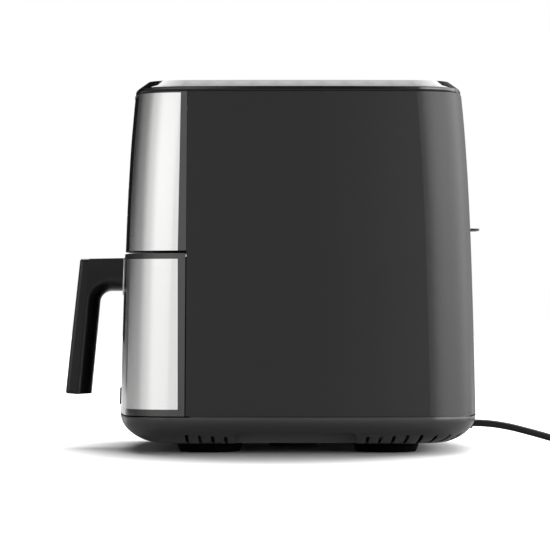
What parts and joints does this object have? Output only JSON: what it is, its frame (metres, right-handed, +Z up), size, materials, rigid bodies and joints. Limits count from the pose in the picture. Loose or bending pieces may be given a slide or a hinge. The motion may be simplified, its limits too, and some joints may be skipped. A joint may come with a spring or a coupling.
{
  "type": "basket air fryer",
  "caption": "Countertop air fryer with tapered dark shell, brushed steel corners, pull-out drawer with pistol handle, crisper plate, top fan and power cord.",
  "frame": {"origin": "on the table under the middle of the appliance, cord left out", "axes": "+Z up, the drawer handle faces -Y, the cord leaves towards +Y, +X is the right side seen from the back"},
  "size_m": [0.298, 0.5355, 0.3154],
  "materials": {
    "aluminium_fan": "stamped",
    "base_grey": "satin",
    "board_green": "circuit board",
    "bush_bronze": "sintered",
    "ceramic_white": null,
    "component_grey": "moulded",
    "copper": "enamelled winding",
    "cord_rubber": "smooth sheath",
    "core_steel": "laminated",
    "element_steel": "oxidised tube",
    "galvanised": "galvanised sheet",
    "gloss_black": "gloss",
    "gloss_dark": "gloss",
    "handle_black": "satin",
    "liner_steel": "aluminised sheet",
    "pan_coat": "dark non-stick coat",
    "panel_black": "mirror gloss",
    "pin_brass": "plated",
    "plastic_black": "moulded",
    "rubber_black": "matte",
    "screw_steel": "zinc plated",
    "shaft_steel": "ground",
    "shell_grey": "fine satin texture",
    "silicone_black": "silicone",
    "steel_brushed": "horizontal brushing",
    "top_black": "fine texture"
  },
  "bodies": {
    "housing": {"base_pan": "base_grey", "body_shell": "shell_grey", "cavity_liner": "liner_steel", "control_board": "board_green", "control_panel": "panel_black", "cord_clamp": "plastic_black", "cord_coil": "cord_rubber", "cord_gland": "cord_rubber", "cord_lead": "cord_rubber", "cord_plug": "cord_rubber", "display_module": "component_grey", "door_switch": "component_grey", "drawer_runners": "galvanised", "element_clips": "galvanised", "element_guard": "liner_steel", "exhaust_duct": "galvanised", "foot_screws": "screw_steel", "front_bezel": "gloss_dark", "front_bulkhead": "plastic_black", "heat_shield": "galvanised", "heater_dome": "liner_steel", "heating_element": "element_steel", "motor_brackets": "galvanised", "motor_bushings": "bush_bronze", "motor_coil": "copper", "motor_stator_core": "core_steel", "plug_pins": "pin_brass", "power_board": "board_green", "power_components": "component_grey", "rear_vent_grille": "plastic_black", "rubber_feet": "rubber_black", "shield_standoffs": "shaft_steel", "temperature_sensor": "shaft_steel", "terminal_insulators": "ceramic_white", "thermal_cutout": "ceramic_white", "top_cover_rim": "gloss_black", "top_panel": "top_black", "underside_hub_cover": "plastic_black", "upper_steel_left": "steel_brushed", "upper_steel_right": "steel_brushed"},
    "fan_rotor": {"motor_shaft": "shaft_steel", "motor_rotor": "core_steel", "convection_fan": "aluminium_fan", "fan_nut": "shaft_steel", "cooling_fan": "plastic_black"},
    "switch_plunger": {"switch_plunger": "component_grey"},
    "drawer": {"drawer_frame": "gloss_dark", "drawer_steel_left": "steel_brushed", "drawer_steel_right": "steel_brushed", "drawer_centre_panel": "gloss_black", "drawer_inner_cover": "plastic_black", "trim_plate": "panel_black", "handle_plate": "steel_brushed", "handle_body": "handle_black", "handle_cover": "handle_black", "drawer_screws": "screw_steel", "drawer_pan": "pan_coat", "pan_bracket": "galvanised"},
    "crisper": {"crisper_plate": "pan_coat", "crisper_bumpers": "silicone_black"}
  },
  "joints": [
    {"name": "fan_spin", "type": "hinge", "parent": "housing", "child": "fan_rotor", "pos_m": [0, 0.029, 0.25], "axis": [0, 0, 1], "continuous": true},
    {"name": "drawer_slide", "type": "slide", "parent": "housing", "child": "drawer", "axis": [0, -1, 0], "range_m": [0, 0.205]},
    {"name": "plunger_slide", "type": "slide", "parent": "housing", "child": "switch_plunger", "axis": [0, -1, 0], "range_m": [0, 0.003]},
    {"name": "crisper_lift", "type": "slide", "parent": "drawer", "child": "crisper", "axis": [0, 0, 1], "range_m": [0, 0.105]}
  ],
  "couplings": [
    {"joint": "plunger_slide", "follows": "drawer_slide", "ratio": 0.0146}
  ]
}
